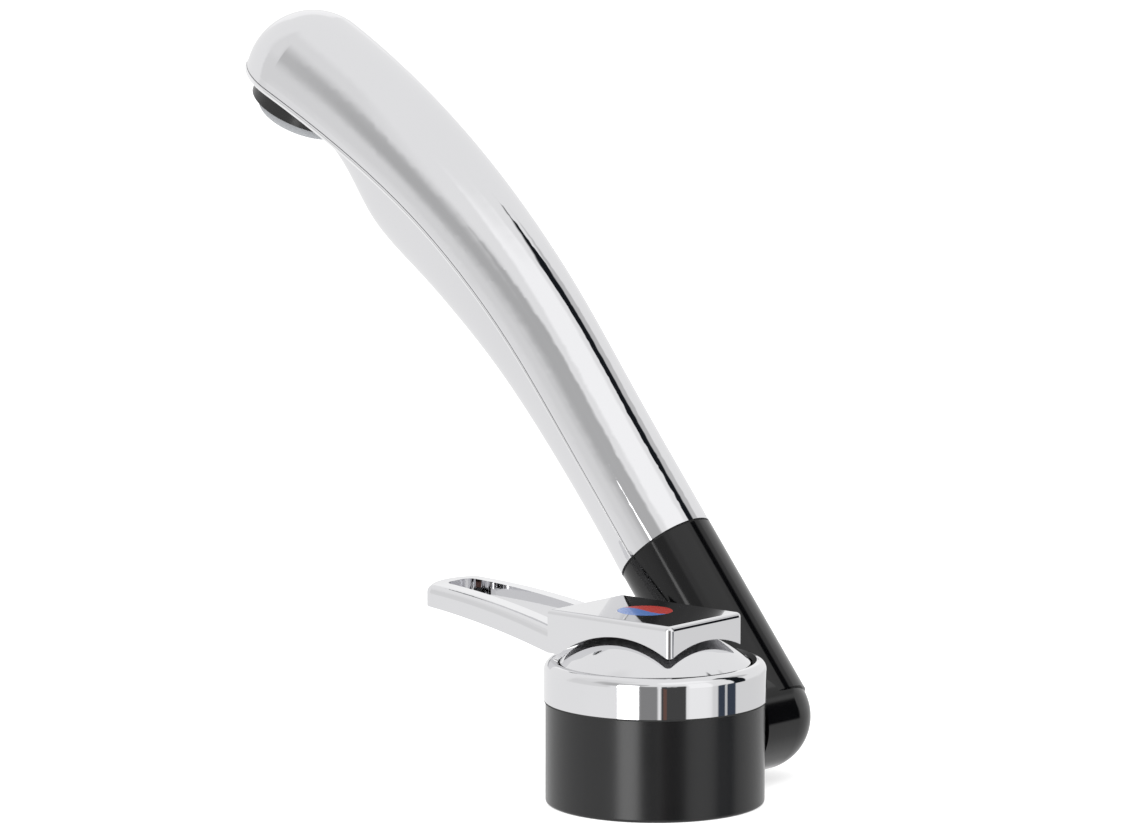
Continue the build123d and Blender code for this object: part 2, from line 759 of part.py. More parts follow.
# Arm elbow: ball-ended arm that stands beside the base
hub = (arm_x, 0, hinge_height)
with BuildPart() as arm_elbow:
    with BuildSketch(Plane.XZ):
        with BuildLine():
            Polyline(
                (arm_x, hinge_height + elbow_radius), (-hinge_face, hinge_height + elbow_radius),
                (-hinge_face, hinge_height), (arm_x - elbow_radius, hinge_height),
            )
            RadiusArc((arm_x - elbow_radius, hinge_height), (arm_x, hinge_height + elbow_radius), elbow_radius)
        make_face()
    revolve(axis=Axis(hub, (1, 0, 0)))
    with BuildSketch(station(0, parting_drop)):
        Circle(arm_radius)
    extrude(amount=joint_at + arm_radius)
    split(bisect_by=arm_end, keep=Keep.BOTTOM)
    # Flat face round the hinge, which lets the arm pass close beside the base
    with BuildSketch(Plane(origin=(-hinge_face, 0, hinge_height), z_dir=(1, 0, 0))):
        Circle(elbow_radius)
    extrude(amount=arm_radius, mode=Mode.SUBTRACT)
    # Hollow for the water and the seat of the plug
    with BuildSketch(station(0, parting_drop)):
        Circle(arm_bore)
    extrude(amount=joint_at, mode=Mode.SUBTRACT)
    with Locations(hub):
        Sphere(elbow_cavity, mode=Mode.SUBTRACT)
    with BuildSketch(station(plug_start, parting_drop)):
        Circle(plug_radius + disc_gap)
    extrude(amount=joint_at, mode=Mode.SUBTRACT)
    with BuildSketch(Plane(origin=(-hinge_face, 0, hinge_height), z_dir=(-1, 0, 0))):
        Circle(spigot_radius)
    extrude(amount=-spigot_outer_end - hinge_face, mode=Mode.SUBTRACT)
arm_elbow.part.label = "arm_elbow"
export_step(arm_elbow.part, "parts/arm_elbow.step")


# Hinge spigot: hollow journal with two seal grooves and a groove for the lock screw
with BuildPart() as hinge_spigot:
    with BuildSketch(Plane(origin=(spigot_outer_end, 0, hinge_height), z_dir=(1, 0, 0))):
        Circle(spigot_radius)
        Circle(spigot_bore, mode=Mode.SUBTRACT)
    extrude(amount=spigot_inner_end - spigot_outer_end)
    for place in ring_groove_places:
        groove_start = spigot_inner_end - place - ring_groove_width / 2
        with BuildSketch(Plane(origin=(groove_start, 0, hinge_height), z_dir=(1, 0, 0))):
            Circle(spigot_radius + fit)
            Circle(spigot_radius - ring_groove_depth, mode=Mode.SUBTRACT)
        extrude(amount=ring_groove_width, mode=Mode.SUBTRACT)
    with BuildSketch(Plane(origin=(lock_groove_x - lock_groove_width / 2, 0, hinge_height), z_dir=(1, 0, 0))):
        Circle(spigot_radius + fit)
        Circle(spigot_radius - lock_groove_depth, mode=Mode.SUBTRACT)
    extrude(amount=lock_groove_width, mode=Mode.SUBTRACT)
hinge_spigot.part.label = "hinge_spigot"
export_step(hinge_spigot.part, "parts/hinge_spigot.step")


with BuildPart() as spigot_o_rings:
    for place in ring_groove_places:
        with Locations(Plane(origin=(spigot_inner_end - place, 0, hinge_height), z_dir=(1, 0, 0))):
            Torus(spigot_radius - ring_groove_depth / 2, ring_groove_width / 2 - disc_gap / 2)
spigot_o_rings.part.label = "spigot_o_rings"
export_step(spigot_o_rings.part, "parts/spigot_o_rings.step")


with BuildPart() as hinge_bush:
    with BuildSketch(Plane(origin=(-boss_face, 0, hinge_height), z_dir=(1, 0, 0))):
        Circle(bush_radius)
        Circle(bearing_radius, mode=Mode.SUBTRACT)
    extrude(amount=boss_face - base_bore)
hinge_bush.part.label = "hinge_bush"
export_step(hinge_bush.part, "parts/hinge_bush.step")


with BuildPart() as hinge_washer:
    with BuildSketch(Plane(origin=(-boss_face - disc_gap, 0, hinge_height), z_dir=(-1, 0, 0))):
        Circle(hinge_drop - 2 * seat)
        Circle(bearing_radius + seat, mode=Mode.SUBTRACT)
    extrude(amount=washer_thickness)
hinge_washer.part.label = "hinge_washer"
export_step(hinge_washer.part, "parts/hinge_washer.step")


with BuildPart() as hinge_lock_screw:
    lock_tip = hinge_height - spigot_radius + lock_groove_depth - 2 * seat
    with BuildSketch(Plane.XY):
        with Locations((lock_groove_x, 0)):
            Circle(lock_screw_radius)
    extrude(amount=lock_tip)
hinge_lock_screw.part.label = "hinge_lock_screw"
export_step(hinge_lock_screw.part, "parts/hinge_lock_screw.step")


# Dark ring that shows as a thin line between arm and spout
with BuildPart() as joint_gasket:
    with BuildSketch(station(joint_at - arm_radius, parting_drop)):
        Circle(arm_radius - gasket_recess)
        Circle(plug_radius + disc_gap, mode=Mode.SUBTRACT)
    extrude(amount=2 * arm_radius)
    split(bisect_by=arm_end, keep=Keep.TOP)
    split(bisect_by=shell_end, keep=Keep.BOTTOM)
joint_gasket.part.label = "joint_gasket"
export_step(joint_gasket.part, "parts/joint_gasket.step")


with BuildPart() as spout_plug:
    with BuildSketch(station(plug_start, parting_drop)):
        Circle(plug_radius)
        with Locations((0, tube_lift - parting_drop)):
            Circle(tube_radius + disc_gap, mode=Mode.SUBTRACT)
    extrude(amount=plug_end - plug_start)
spout_plug.part.label = "spout_plug"
export_step(spout_plug.part, "parts/spout_plug.step")


# Upper shell: a lofted channel that flares into a round head, open underneath
with BuildPart() as spout_upper_shell:
    for s in upper_stations:
        with BuildSketch(station(s)):
            with BuildLine():
                hood_outline(half_width(s), crown(s), -lip(s))
            make_face()
    loft()
    with BuildSketch(head_station):
        with BuildLine():
            arc = EllipticalCenterArc(
                (0, parting_drop), head_half_width, head_height - parting_drop, 90, arc_size=90
            )
            Polyline(arc @ 1, (-head_half_width, -lip_drop), (0, -lip_drop), arc @ 0)
        make_face()
    revolve(axis=Axis(head_station.origin, head_station.y_dir), revolution_arc=180)
    for s in upper_stations:
        with BuildSketch(station(s)):
            with BuildLine():
                hood_outline(half_width(s) - shell_wall, crown(s) - shell_wall, -lip(s) - shell_wall)
            make_face()
    loft(mode=Mode.SUBTRACT)
    with BuildSketch(head_station):
        with BuildLine():
            inner = EllipticalCenterArc(
                (0, parting_drop), head_half_width - shell_wall, head_height - shell_wall - parting_drop, 90,
                arc_size=90,
            )
            inner_floor = -lip_drop - shell_wall
            Polyline(inner @ 1, (shell_wall - head_half_width, inner_floor), (0, inner_floor), inner @ 0)
        make_face()
    revolve(axis=Axis(head_station.origin, head_station.y_dir), revolution_arc=180, mode=Mode.SUBTRACT)
    split(bisect_by=shell_end, keep=Keep.TOP)
spout_upper_shell.part.label = "spout_upper_shell"
export_step(spout_upper_shell.part, "parts/spout_upper_shell.step")


# Lower shell: a lofted trough whose belly closes behind the outlet
with BuildPart() as spout_lower_shell:
    for s in lower_stations + [nose_at]:
        with BuildSketch(station(s)):
            with BuildLine():
                keel_outline(lower_half_width(s), belly(s), -lip(s) - parting_gap)
            make_face()
    loft()
    for s in lower_stations + [nose_at - shell_wall]:
        with BuildSketch(station(s)):
            with BuildLine():
                keel_outline(lower_half_width(s) - shell_wall, belly(s) - shell_wall, -lip(s))
            make_face()
    loft(mode=Mode.SUBTRACT)
    split(bisect_by=shell_end, keep=Keep.TOP)
spout_lower_shell.part.label = "spout_lower_shell"
export_step(spout_lower_shell.part, "parts/spout_lower_shell.step")


# Water tube from the plug to the nozzle holder
with BuildPart() as water_tube:
    with BuildLine():
        first = station(tube_start, tube_lift).origin
        bend_start = station(straight_run, tube_lift).origin
        middle = station((straight_run + tube_end) / 2, tube_lift).origin
        Line(first, bend_start)
        ThreePointArc(bend_start, middle, station(tube_end, tube_lift).origin)
    with BuildSketch(station(tube_start, tube_lift)):
        Circle(tube_radius)
        Circle(tube_bore, mode=Mode.SUBTRACT)
    sweep()
water_tube.part.label = "water_tube"
export_step(water_tube.part, "parts/water_tube.step")


# Nozzle holder: cup in the head with a flange under the shell and a socket for the tube
with BuildPart() as nozzle_holder:
    with BuildSketch(head.offset(holder_lift)):
        Circle(head_half_width - shell_wall - 2 * seat)
        with Locations((0, (head_at - nose_at) / 2 - seat)):
            Rectangle(2 * (lower_half_width(belly_peak) - shell_wall - play), head_at - nose_at,
                      mode=Mode.ADD)
    extrude(amount=holder_flange)
    with BuildSketch(Plane(origin=outlet.origin, x_dir=(1, 0, 0), z_dir=-outlet.y_dir)):
        with BuildLine():
            Polyline(
                (0, holder_lift), (holder_radius, holder_lift), (holder_radius, holder_height),
                (holder_top_radius, holder_top), (0, holder_top), close=True,
            )
        make_face()
    revolve(axis=Axis(outlet.origin, outlet.z_dir))
    with BuildSketch(station(socket_start, tube_lift)):
        Circle(socket_radius)
    extrude(amount=aerator_at - socket_start - holder_radius / 2)
    # Tongue that hooks into the nose of the lower shell
    with BuildSketch(station(nose_at - shell_wall - seat)):
        with Locations((0, tube_lift - socket_radius + seat)):
            Rectangle(2 * tongue_half_width, tongue_depth, align=(Align.CENTER, Align.MAX))
    extrude(amount=socket_start - nose_at + shell_wall + seat)
    tube_depth = tube_end + disc_gap - socket_start
    with BuildSketch(station(socket_start + tube_depth / 2, tube_lift)):
        Circle(tube_radius + 2 * disc_gap)
    extrude(amount=tube_depth / 2 + seat, both=True, mode=Mode.SUBTRACT)
    with BuildSketch(station(socket_start, tube_lift)):
        Circle(tube_bore)
    extrude(amount=aerator_at - socket_start, mode=Mode.SUBTRACT)
    with BuildSketch(outlet.offset(aerator_shoulder + seat)):
        Circle(aerator_radius + seat)
    extrude(amount=-aerator_drop, mode=Mode.SUBTRACT)
    with BuildSketch(outlet):
        Circle(aerator_thread + fit)
    extrude(amount=aerator_shoulder + thread_length + seal_thickness, mode=Mode.SUBTRACT)
    with BuildSketch(outlet):
        Circle(chamber_radius)
    extrude(amount=chamber_top, mode=Mode.SUBTRACT)
nozzle_holder.part.label = "nozzle_holder"
export_step(nozzle_holder.part, "parts/nozzle_holder.step")


# Aerator: black threaded housing, grey ring, jet insert and seal
across_outlet = Plane(origin=outlet.origin, x_dir=(1, 0, 0), z_dir=-outlet.y_dir)
with BuildPart() as aerator_housing:
    with BuildSketch(across_outlet):
        with BuildLine():
            thread_top = aerator_shoulder + thread_length
            Polyline(
                (aerator_bore, -aerator_drop), (aerator_radius, -aerator_drop),
                (aerator_radius, aerator_shoulder), (aerator_thread, aerator_shoulder),
                (aerator_thread, thread_top), (aerator_bore, thread_top), close=True,
            )
        make_face()
    revolve(axis=Axis(outlet.origin, outlet.z_dir))
    fillet(aerator_housing.edges().filter_by(GeomType.CIRCLE).sort_by(SortBy.RADIUS)[-1], base_edge / 2)
aerator_housing.part.label = "aerator_housing"
export_step(aerator_housing.part, "parts/aerator_housing.step")


with BuildPart() as aerator_ring:
    with BuildSketch(across_outlet) as ring_section:
        with BuildLine():
            Polyline(
                (insert_radius + fit, -aerator_ring_drop), (aerator_ring_radius, -aerator_ring_drop),
                (aerator_ring_radius, -aerator_drop), (aerator_bore - disc_gap, -aerator_drop),
                (aerator_bore - disc_gap, -aerator_drop / 2), (insert_radius + fit, -aerator_drop / 2),
                close=True,
            )
        make_face()
        outer_corner = ring_section.vertices().group_by(Axis.Y)[0].sort_by(Axis.X)[-1]
        fillet(outer_corner, aerator_ring_round)
    revolve(axis=Axis(outlet.origin, outlet.z_dir))
aerator_ring.part.label = "aerator_ring"
export_step(aerator_ring.part, "parts/aerator_ring.step")


with BuildPart() as aerator_insert:
    with BuildSketch(outlet.offset(insert_recess - aerator_ring_drop)):
        Circle(insert_radius)
        with HexLocations(jet_pitch / 2, 5, 5):
            Circle(jet_radius, mode=Mode.SUBTRACT)
    extrude(amount=aerator_ring_drop - insert_recess + aerator_shoulder)
aerator_insert.part.label = "aerator_insert"
export_step(aerator_insert.part, "parts/aerator_insert.step")


with BuildPart() as aerator_seal:
    with BuildSketch(outlet.offset(aerator_shoulder + thread_length)):
        Circle(aerator_thread)
        Circle(chamber_radius, mode=Mode.SUBTRACT)
    extrude(amount=seal_thickness)
aerator_seal.part.label = "aerator_seal"
export_step(aerator_seal.part, "parts/aerator_seal.step")
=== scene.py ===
"""Looks of a single-lever mixer tap with a fold-down spout: finishes, thin trim and the studio."""

import json
import logging
import math
from dataclasses import dataclass, field, replace
from enum import Enum

import bpy
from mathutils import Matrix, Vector

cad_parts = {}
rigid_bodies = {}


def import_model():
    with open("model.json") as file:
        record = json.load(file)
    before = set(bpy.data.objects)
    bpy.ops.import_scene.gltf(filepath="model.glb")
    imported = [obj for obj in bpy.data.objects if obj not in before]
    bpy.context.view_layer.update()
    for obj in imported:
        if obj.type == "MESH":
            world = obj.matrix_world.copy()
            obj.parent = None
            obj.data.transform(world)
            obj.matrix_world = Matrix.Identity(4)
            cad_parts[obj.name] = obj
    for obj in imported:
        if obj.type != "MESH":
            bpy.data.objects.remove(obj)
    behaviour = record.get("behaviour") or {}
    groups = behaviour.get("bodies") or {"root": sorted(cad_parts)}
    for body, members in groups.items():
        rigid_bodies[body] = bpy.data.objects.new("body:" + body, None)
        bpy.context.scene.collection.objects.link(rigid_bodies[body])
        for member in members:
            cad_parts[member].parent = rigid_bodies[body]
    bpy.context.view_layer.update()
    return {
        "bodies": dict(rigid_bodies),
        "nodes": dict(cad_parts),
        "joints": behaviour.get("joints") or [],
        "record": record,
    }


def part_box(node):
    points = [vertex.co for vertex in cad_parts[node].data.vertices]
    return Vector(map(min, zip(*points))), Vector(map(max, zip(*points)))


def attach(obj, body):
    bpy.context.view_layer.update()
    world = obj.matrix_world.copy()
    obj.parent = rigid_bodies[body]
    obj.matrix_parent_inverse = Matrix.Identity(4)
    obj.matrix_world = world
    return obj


log = logging.getLogger("tap")

Colour = tuple[float, float, float]
Place = tuple[float, float, float]

# Edges that bend more than this count as sharp.
SHARP_ANGLE = math.radians(40)

# The finishes: the mean of a noise, the detail of the fine grain and of the soft clouds, how many
# times larger than the grain the clouds are, and the roughness of a clear coat.
NOISE_MEAN = 0.5
GRAIN_DETAIL = 4.0
CLOUD_DETAIL = 2.0
CLOUD_SIZE = 30
COAT_ROUGHNESS = 0.06

# The lines along the shell: how far apart two points may be and still be one, how squarely a face
# has to look outwards to belong to the outer wall, the share of the room up to the tap's box that a
# line may fill, and the roundness of its section.
MERGE_REACH = 0.00001
FACING_OUT = 0.7
ROOM_SHARE = 0.5
LINE_ROUNDNESS = 4


def linear(red: int, green: int, blue: int) -> Colour:
    """Turn a display colour into the linear colour that shaders use.

    Args:
        red: Red from 0 to 255.
        green: Green from 0 to 255.
        blue: Blue from 0 to 255.

    Returns:
        The linear colour.
    """

    def channel(value: int) -> float:
        """One channel from display to linear, by the sRGB curve."""
        share = value / 255
        return share / 12.92 if share <= 0.04045 else ((share + 0.055) / 1.055) ** 2.4

    return channel(red), channel(green), channel(blue)


def release() -> None:
    """Deselect everything, so that an operator acts on the new piece alone."""
    bpy.ops.object.select_all(action="DESELECT")


@dataclass
class Signal:
    """One number socket of a shader graph, with the arithmetic that finishes and studio use."""

    graph: "ShaderGraph"
    socket: bpy.types.NodeSocket

    def _math(self, operation: str, *values: "Signal | float") -> "Signal":
        """Result of a Math node with an operation and its one or two operands."""
        made = self.graph.node("ShaderNodeMath", {"operation": operation}, dict(enumerate(values)))
        return self.graph.signal(made)

    def __add__(self, other: "Signal | float") -> "Signal":
        """Sum of this signal and another value."""
        return self._math("ADD", self, other)

    def __radd__(self, other: "Signal | float") -> "Signal":
        """Sum with the value on the left."""
        return self._math("ADD", other, self)

    def __sub__(self, other: "Signal | float") -> "Signal":
        """This signal less another value."""
        return self._math("SUBTRACT", self, other)

    def __rsub__(self, other: "Signal | float") -> "Signal":
        """A value less this signal."""
        return self._math("SUBTRACT", other, self)

    def __mul__(self, other: "Signal | float") -> "Signal":
        """Product of this signal and another value."""
        return self._math("MULTIPLY", self, other)

    def __rmul__(self, other: "Signal | float") -> "Signal":
        """Product with the value on the left."""
        return self._math("MULTIPLY", other, self)

    def maximum(self, other: "Signal | float") -> "Signal":
        """The larger of this signal and another value."""
        return self._math("MAXIMUM", self, other)

    def clamp(self) -> "Signal":
        """This signal held between 0 and 1."""
        return self._math("MINIMUM", self.maximum(0.0), 1.0)

    def arcsine(self) -> "Signal":
        """The angle in radians that has this signal as its sine."""
        return self._math("ARCSINE", self)

    def turn_from(self, along: "Signal") -> "Signal":
        """The angle in radians of a direction with this part across and another part along."""
        return self._math("ARCTAN2", self, along)


class ShaderGraph:
    """The nodes of one material or of the world."""

    # Numbers of the Mix node's sockets for colours: factor, first and second colour; result.
    MIX_INPUTS = (0, 6, 7)
    MIX_RESULT = 2

    def __init__(self, owner: bpy.types.Material | bpy.types.World) -> None:
        """Empty the owner's node tree and take it over.

        Args:
            owner: A material or a world.
        """
        owner.use_nodes = True
        self.tree = owner.node_tree
        self.tree.nodes.clear()

    def node(
        self, kind: str, settings: dict | None = None, inputs: dict | None = None
    ) -> bpy.types.Node:
        """Add a node.

        Args:
            kind: The node's type name.
            settings: Attributes to set first.
            inputs: Values, signals or sockets by the name or number of the input.

        Returns:
            The new node.
        """
        made = self.tree.nodes.new(kind)
        for name, value in (settings or {}).items():
            setattr(made, name, value)
        for name, value in (inputs or {}).items():
            source = value.socket if isinstance(value, Signal) else value
            if isinstance(source, bpy.types.NodeSocket):
                self.tree.links.new(source, made.inputs[name])
            else:
                made.inputs[name].default_value = source
        return made

    def signal(self, node: bpy.types.Node, output: str | int = 0) -> Signal:
        """Wrap one output of a node as a signal."""
        return Signal(self, node.outputs[output])

    def step(self, value: Signal, low: float, high: float) -> Signal:
        """Rise smoothly from 0 at low to 1 at high.

        Args:
            value: The signal that is read.
            low: Where the rise starts.
            high: Where it ends.

        Returns:
            The rise.
        """
        inputs = {"Value": value, "From Min": low, "From Max": high}
        settings = {"interpolation_type": "SMOOTHSTEP"}
        return self.signal(self.node("ShaderNodeMapRange", settings, inputs))

    def window(self, value: Signal, centre: float, half: float, soft: float) -> Signal:
        """Be 1 within a half width of a centre and fall smoothly to 0 beyond it.

        Args:
            value: The signal that is read.
            centre: Middle of the window.
            half: Half width of the window.
            soft: Width of each soft edge.

        Returns:
            The window.
        """
        rise = self.step(value, centre - half - soft, centre - half)
        fall = self.step(value, centre + half, centre + half + soft)
        return rise * (1.0 - fall)

    def mix(
        self,
        factor: Signal | float,
        first: Colour | bpy.types.NodeSocket,
        second: Colour | bpy.types.NodeSocket,
    ) -> bpy.types.NodeSocket:
        """Mix two colours.

        Args:
            factor: Share of the second colour.
            first: First colour or socket.
            second: Second colour or socket.

        Returns:
            The mixed colour's socket.
        """
        pair = [(*end, 1.0) if isinstance(end, tuple) else end for end in (first, second)]
        values = dict(zip(self.MIX_INPUTS, (factor, *pair)))
        return self.node("ShaderNodeMix", {"data_type": "RGBA"}, values).outputs[self.MIX_RESULT]

    def noise(self, scale: float, detail: float) -> Signal:
        """Noise on Object coordinates.

        Args:
            scale: Noise scale per metre.
            detail: Noise detail.

        Returns:
            The noise, about 0.5.
        """
        place = self.node("ShaderNodeTexCoord").outputs["Object"]
        inputs = {"Vector": place, "Scale": scale, "Detail": detail}
        return self.signal(self.node("ShaderNodeTexNoise", None, inputs))

    def bump(self, height: Signal, strength: float, distance: float) -> bpy.types.NodeSocket:
        """Turn a height into a bumped normal, with the bump's strength and its size in metres."""
        inputs = {"Height": height, "Strength": strength, "Distance": distance}
        return self.node("ShaderNodeBump", None, inputs).outputs[0]


class Sheen(Enum):
    """Named surface families of the tap."""

    METAL = "metal"
    PAINT = "paint"
    PLASTIC = "plastic"


@dataclass(frozen=True)
class Hollow:
    """A spherical hollow that keeps the dull skin of the casting instead of the polish.

    Attributes:
        centre: Middle of the sphere, in metres.
        radius: Its radius, in metres.
        margin: How far outside the sphere the skin still reaches, and the width of its soft end.
        roughness: Roughness of the skin.
        colour: Colour of the skin.
    """

    centre: Place
    radius: float
    margin: float
    roughness: float
    colour: Colour

    def inside(self, graph: ShaderGraph) -> Signal:
        """Tell the hollow from the rest of the piece.

        Args:
            graph: The material's graph.

        Returns:
            1 on the hollow and 0 elsewhere.
        """
        place = graph.node("ShaderNodeTexCoord").outputs["Object"]
        inputs = {0: place, 1: self.centre}
        distance = graph.node("ShaderNodeVectorMath", {"operation": "DISTANCE"}, inputs)
        edge = self.radius + self.margin
        end = self.radius + 2 * self.margin
        return 1.0 - graph.step(graph.signal(distance, "Value"), edge, end)


@dataclass(frozen=True)
class Finish:
    """One procedural finish: a colour with fine variation, roughness and a light bump.

    Attributes:
        name: Name of the material.
        colour: Its main colour, linear.
        shade: The colour that it drifts to in soft clouds, linear.
        roughness: Mean roughness.
        sheen: Surface family; only metal is metallic.
        spread: How far grain and clouds change the roughness.
        grain: Scale of the fine noise, per metre.
        bump: Strength of the grain's bump, 0 for none.
        bump_size: Height of that bump, in metres.
        coat: Weight of a clear coat.
        specular: Strength of the mirrored light on paint and plastic.
        hollow: The part of the piece that isn't polished, if there is one.
    """

    name: str
    colour: Colour
    shade: Colour
    roughness: float
    sheen: Sheen = Sheen.PLASTIC
    spread: float = 0.03
    grain: float = 900.0
    bump: float = 0.0
    bump_size: float = 0.0002
    coat: float = 0.0
    specular: float = 0.5
    hollow: Hollow | None = None

    def make(self) -> bpy.types.Material:
        """Build the material.

        Returns:
            The material.
        """
        material = bpy.data.materials.new(self.name)
        graph = ShaderGraph(material)
        grain = graph.noise(self.grain, GRAIN_DETAIL)
        cloud = graph.noise(self.grain / CLOUD_SIZE, CLOUD_DETAIL)
        colour = graph.mix(cloud, self.colour, self.shade)
        drift = (grain - NOISE_MEAN) * self.spread
        rough = (self.roughness + drift + (cloud - NOISE_MEAN) * self.spread).clamp()
        if self.hollow:
            inside = self.hollow.inside(graph)
            colour = graph.mix(inside, colour, self.hollow.colour)
            rough = rough * (1.0 - inside) + inside * self.hollow.roughness
        inputs = {
            "Base Color": colour,
            "Roughness": rough,
            "Metallic": 1.0 if self.sheen is Sheen.METAL else 0.0,
            "Specular IOR Level": self.specular,
            "Coat Weight": self.coat,
            "Coat Roughness": COAT_ROUGHNESS,
        }
        if self.bump:
            inputs["Normal"] = graph.bump(grain, self.bump, self.bump_size)
        shader = graph.node("ShaderNodeBsdfPrincipled", None, inputs)
        graph.node("ShaderNodeOutputMaterial", None, {"Surface": shader.outputs[0]})
        return material


CHROME = Finish(
    "polished_chrome",
    colour=(0.80, 0.80, 0.815),
    shade=(0.76, 0.76, 0.775),
    roughness=0.035,
    sheen=Sheen.METAL,
    spread=0.015,
    grain=500.0,
)
LEVER_CHROME = replace(
    CHROME,
    name="lever_chrome",
    hollow=Hollow(
        centre=(0.0, 0.0006, 0.0100),
        radius=0.0374,
        margin=0.00006,
        roughness=0.42,
        colour=(0.72, 0.72, 0.735),
    ),
)
# Lighter chrome for the rolled edge of the spout: a painted highlight.
BEAD_HIGHLIGHT_CHROME = replace(
    CHROME, name="bead_highlight_chrome", colour=(0.95, 0.95, 0.96), shade=(0.92, 0.92, 0.93), roughness=0.05
)
# Dark chrome for the thin line above the rolled edge: a painted shadow.
SHADOW_LINE_CHROME = replace(
    CHROME,
    name="shadow_line_chrome",
    colour=(0.22, 0.22, 0.23),
    shade=(0.17, 0.17, 0.18),
    roughness=0.3,
    spread=0.03,
)
SATIN_BLACK = Finish(
    "satin_black_paint",
    colour=linear(13, 13, 14),
    shade=linear(17, 17, 18),
    roughness=0.24,
    sheen=Sheen.PAINT,
    spread=0.05,
    grain=1500.0,
    bump=0.06,
    bump_size=0.0001,
)
GLOSS_BLACK = Finish(
    "gloss_black_paint",
    colour=linear(4, 4, 5),
    shade=linear(7, 7, 8),
    roughness=0.09,
    sheen=Sheen.PAINT,
    grain=700.0,
    specular=0.42,
)
BRASS = Finish(
    "cast_brass",
    colour=(0.72, 0.50, 0.22),
    shade=(0.66, 0.45, 0.18),
    roughness=0.32,
    sheen=Sheen.METAL,
    spread=0.12,
    bump=0.15,
)
STEEL = Finish(
    "turned_steel",
    colour=(0.56, 0.56, 0.57),
    shade=(0.50, 0.50, 0.51),
    roughness=0.28,
    sheen=Sheen.METAL,
    spread=0.1,
    grain=1400.0,
    bump=0.1,
)
RUBBER = Finish(
    "seal_rubber",
    colour=linear(24, 24, 24),
    shade=linear(32, 32, 32),
    roughness=0.7,
    spread=0.1,
    grain=1200.0,
    bump=0.2,
)
PALE_PLASTIC = Finish(
    "cartridge_plastic",
    colour=linear(226, 226, 220),
    shade=linear(214, 214, 208),
    roughness=0.45,
    bump=0.08,
)
CERAMIC = Finish(
    "lapped_ceramic",
    colour=linear(240, 239, 234),
    shade=linear(230, 229, 224),
    roughness=0.16,
    spread=0.02,
)
DARK_PLASTIC = Finish(
    "bearing_plastic",
    colour=linear(58, 58, 60),
    shade=linear(48, 48, 50),
    roughness=0.5,
    bump=0.08,
)
OUTLET_BLACK = Finish(
    "outlet_black",
    colour=linear(7, 7, 8),
    shade=linear(11, 11, 12),
    roughness=0.24,
    spread=0.05,
    bump=0.04,
)
OUTLET_GREY = Finish(
    "outlet_grey",
    colour=linear(150, 152, 155),
    shade=linear(140, 142, 145),
    roughness=0.42,
    spread=0.06,
    bump=0.05,
)
MARKER_RED = Finish(
    "marker_red",
    colour=linear(206, 70, 62),
    shade=linear(196, 62, 54),
    roughness=0.22,
    coat=0.4,
)
MARKER_BLUE = Finish(
    "marker_blue",
    colour=linear(88, 132, 208),
    shade=linear(78, 122, 198),
    roughness=0.22,
    coat=0.4,
)


@dataclass
class SubAssembly:
    """A group of pieces that are dressed together.

    Attributes:
        frame: The loaded frame with its nodes.
        finishes: The materials made so far, by name; all groups share them.
        body: The body that the group's new pieces ride on.
        dress_list: The finish of each node of the group.
    """

    frame: dict
    finishes: dict[str, bpy.types.Material]
    body: str = "base"
    dress_list: dict[str, Finish] = field(default_factory=dict)

    def wear(self, piece: bpy.types.Object, finish: Finish) -> None:
        """Make a finish the only material of a piece.

        Args:
            piece: The piece.
            finish: Its finish; the material is made once and then shared.
        """
        if finish.name not in self.finishes:
            self.finishes[finish.name] = finish.make()
        piece.data.materials.clear()
        piece.data.materials.append(self.finishes[finish.name])

    def dress(self) -> None:
        """Give each listed node its finish."""
        for name, finish in self.dress_list.items():
            self.wear(self.frame["nodes"][name], finish)
            log.info("dressed %s with %s", name, finish.name)

    def finish_piece(self, piece: bpy.types.Object, finish: Finish, slot: str) -> None:
        """Apply a new piece's place, smooth it, dress it and let it ride.

        Args:
            piece: The piece.
            finish: Its finish.
            slot: The record's material slot; not used.
        """
        release()
        piece.select_set(True)
        bpy.context.view_layer.objects.active = piece
        bpy.ops.object.transform_apply(location=True, rotation=True, scale=True)
        bpy.ops.object.shade_smooth_by_angle(angle=SHARP_ANGLE)
        self.wear(piece, finish)
        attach(piece, self.body)
        log.info("made %s with %d faces", piece.name, len(piece.data.polygons))


